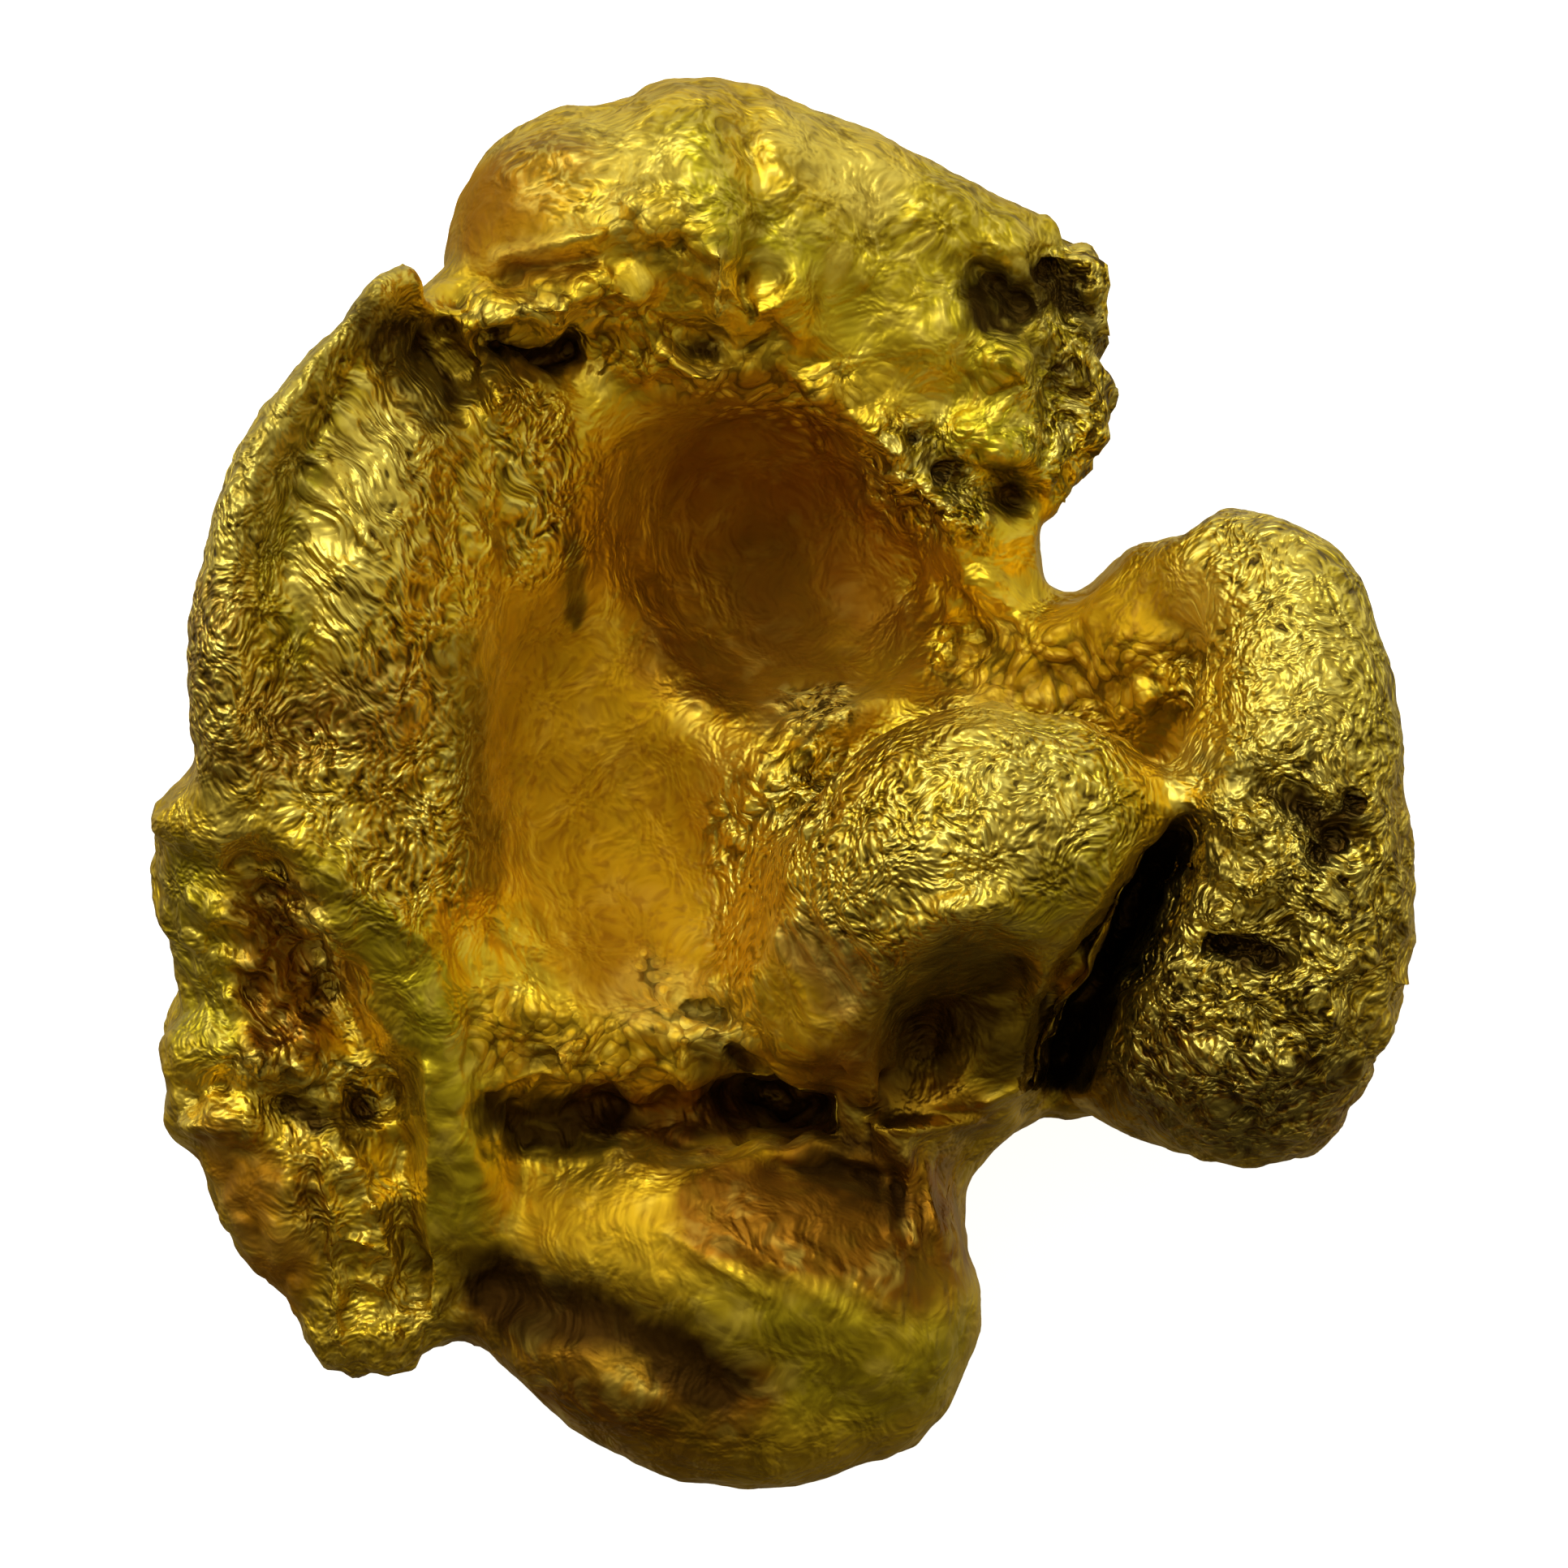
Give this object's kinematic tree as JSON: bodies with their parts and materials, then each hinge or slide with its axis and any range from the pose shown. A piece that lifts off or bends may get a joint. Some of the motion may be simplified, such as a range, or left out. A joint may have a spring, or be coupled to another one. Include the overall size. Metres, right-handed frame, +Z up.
{
  "type": "gold nugget",
  "caption": "Natural gold nugget: one lumpy, cupped piece of native gold with a deep hollow between folded lobes, lying on its worn underside.",
  "frame": {"origin": "centre of the nugget's box, on the surface that it rests on", "axes": "+X to the nugget's right as seen from above, +Y towards its crown, +Z up out of its hollow"},
  "size_m": [0.0124, 0.014, 0.0066],
  "materials": {
    "gold": "bare native gold, satin on the worn crests and finely hammered or pitted elsewhere, orange where the hollows mirror themselves"
  },
  "bodies": {
    "root": {"nugget": "gold"}
  },
  "joints": []
}
